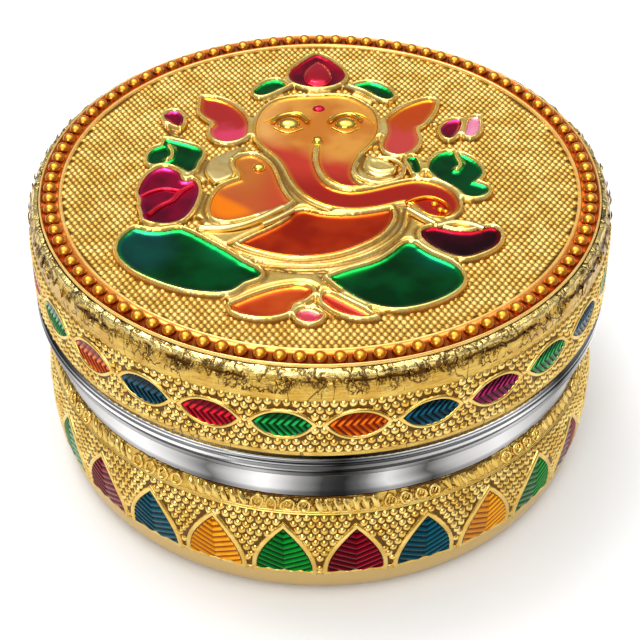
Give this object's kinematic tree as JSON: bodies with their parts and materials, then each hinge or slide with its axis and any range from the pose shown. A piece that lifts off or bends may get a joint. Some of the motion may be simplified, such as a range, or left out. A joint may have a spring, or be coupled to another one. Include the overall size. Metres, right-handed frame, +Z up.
{
  "type": "kumkum box",
  "caption": "Round steel box with a lift-off lid, dressed in embossed gold sheet with coloured enamel and a raised elephant-headed figure, for kumkum powder.",
  "frame": {"origin": "middle of the flat rest face under the bowl", "axes": "+Z up through the lid, -Y towards the front of the figure, +X to the viewer's right"},
  "size_m": [0.0754, 0.0754, 0.0396],
  "materials": {
    "steel": "polished",
    "gold_sheet": "polished, embossed",
    "bead_gold": "gloss lacquer over gold",
    "orange_enamel": "gloss",
    "green_enamel": "gloss",
    "red_enamel": "gloss",
    "teal_enamel": "gloss",
    "amber_enamel": "gloss",
    "purple_enamel": "gloss",
    "magenta_enamel": "gloss",
    "salmon_enamel": "gloss"
  },
  "bodies": {
    "base": {"base_bowl": "steel", "base_sleeve": "gold_sheet", "base_leaves_green": "green_enamel", "base_leaves_red": "red_enamel", "base_leaves_teal": "teal_enamel", "base_leaves_amber": "amber_enamel"},
    "lid": {"lid_pan": "steel", "lid_band": "gold_sheet", "lid_plate": "gold_sheet", "ring_enamel": "orange_enamel", "bead_row": "bead_gold", "marquises_green": "green_enamel", "marquises_orange": "orange_enamel", "marquises_teal": "teal_enamel", "marquises_red": "red_enamel", "marquises_purple": "purple_enamel", "crown_jewel": "magenta_enamel", "crown_gem": "red_enamel", "crown_leaf_left": "green_enamel", "crown_leaf_right": "green_enamel", "head_and_trunk": "amber_enamel", "eyes": "gold_sheet", "tilak": "red_enamel", "ear_left": "magenta_enamel", "ear_right": "salmon_enamel", "arm": "orange_enamel", "belly": "orange_enamel", "bud_left": "purple_enamel", "bud_right": "purple_enamel", "bud_tip": "salmon_enamel", "upper_leaf_left": "green_enamel", "upper_leaf_right": "green_enamel", "slim_leaf": "green_enamel", "lotus_left": "magenta_enamel", "lotus_right": "red_enamel", "seat_leaf_left": "green_enamel", "seat_leaf_right": "green_enamel", "petal_left": "salmon_enamel", "petal_centre": "salmon_enamel", "petal_right": "red_enamel"}
  },
  "joints": [
    {"name": "lid_lift", "type": "slide", "parent": "base", "child": "lid", "axis": [0, 0, 1], "range_m": [0, 0.03]}
  ]
}
